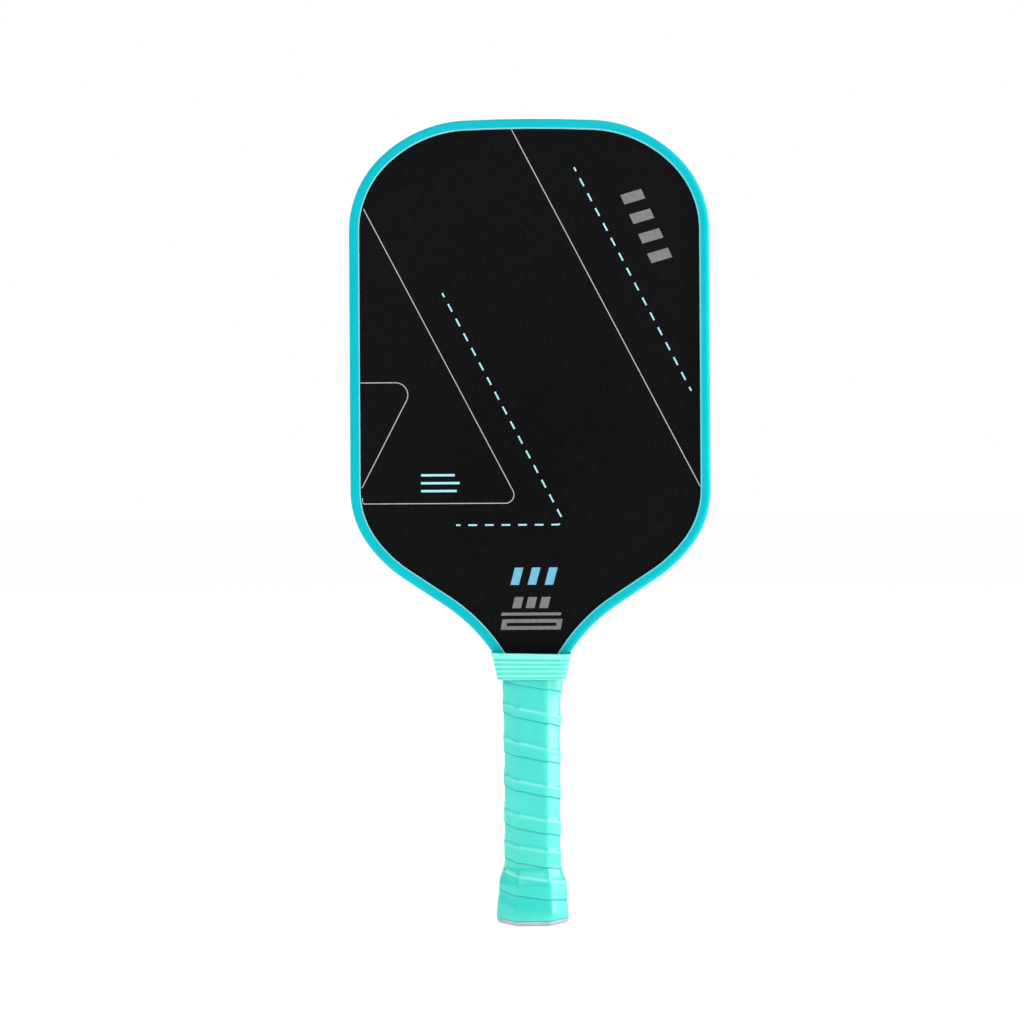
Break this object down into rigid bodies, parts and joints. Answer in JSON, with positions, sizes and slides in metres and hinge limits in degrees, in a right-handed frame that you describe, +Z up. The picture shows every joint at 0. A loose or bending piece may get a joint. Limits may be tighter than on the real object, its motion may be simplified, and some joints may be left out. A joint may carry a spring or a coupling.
{
  "type": "pickleball paddle",
  "caption": "Pickleball paddle with a rounded textured carbon face, edge guard, ribbed rubber collar and a wrapped eight-sided handle that flares at the butt.",
  "frame": {"origin": "centre of the butt's end face, with the paddle standing upright", "axes": "+Z up the handle to the top of the head, front face towards -Y, +X to the right as seen from the front"},
  "size_m": [0.1874, 0.0372, 0.4176],
  "materials": {
    "carbon_face": "matt peel-ply carbon weave, fine and gritty",
    "edge_guard": "satin soft plastic",
    "collar": "satin elastic rubber with moulded ribs",
    "overgrip": "matt tacky polyurethane film on felt",
    "butt_plastic": "smooth moulded plastic",
    "badge": "smooth blank disc",
    "core": "translucent polypropylene honeycomb",
    "bond_film": "cured adhesive film",
    "handle_shell": "rigid moulded foam",
    "cushion_grip": "soft foamed polyurethane",
    "finishing_tape": "vinyl tape",
    "adhesive_strip": "double-sided foam strip",
    "staple_wire": "zinc-plated flat wire"
  },
  "bodies": {
    "paddle": {"core_panel": "core", "bond_film_front": "bond_film", "bond_film_back": "bond_film", "face_front": "carbon_face", "face_back": "carbon_face", "edge_guard_tape": "adhesive_strip", "edge_guard": "edge_guard", "handle_shell_front": "handle_shell", "handle_shell_back": "handle_shell", "butt_cap": "butt_plastic", "butt_cap_staples": "staple_wire", "butt_badge": "badge", "base_grip": "cushion_grip", "base_grip_tape": "finishing_tape", "overgrip": "overgrip", "overgrip_tape": "finishing_tape"},
    "collar": {"grip_collar": "collar"}
  },
  "joints": [
    {"name": "collar_slide", "type": "slide", "parent": "paddle", "child": "collar", "axis": [0, 0, -1], "range_m": [0, 0.09]}
  ]
}
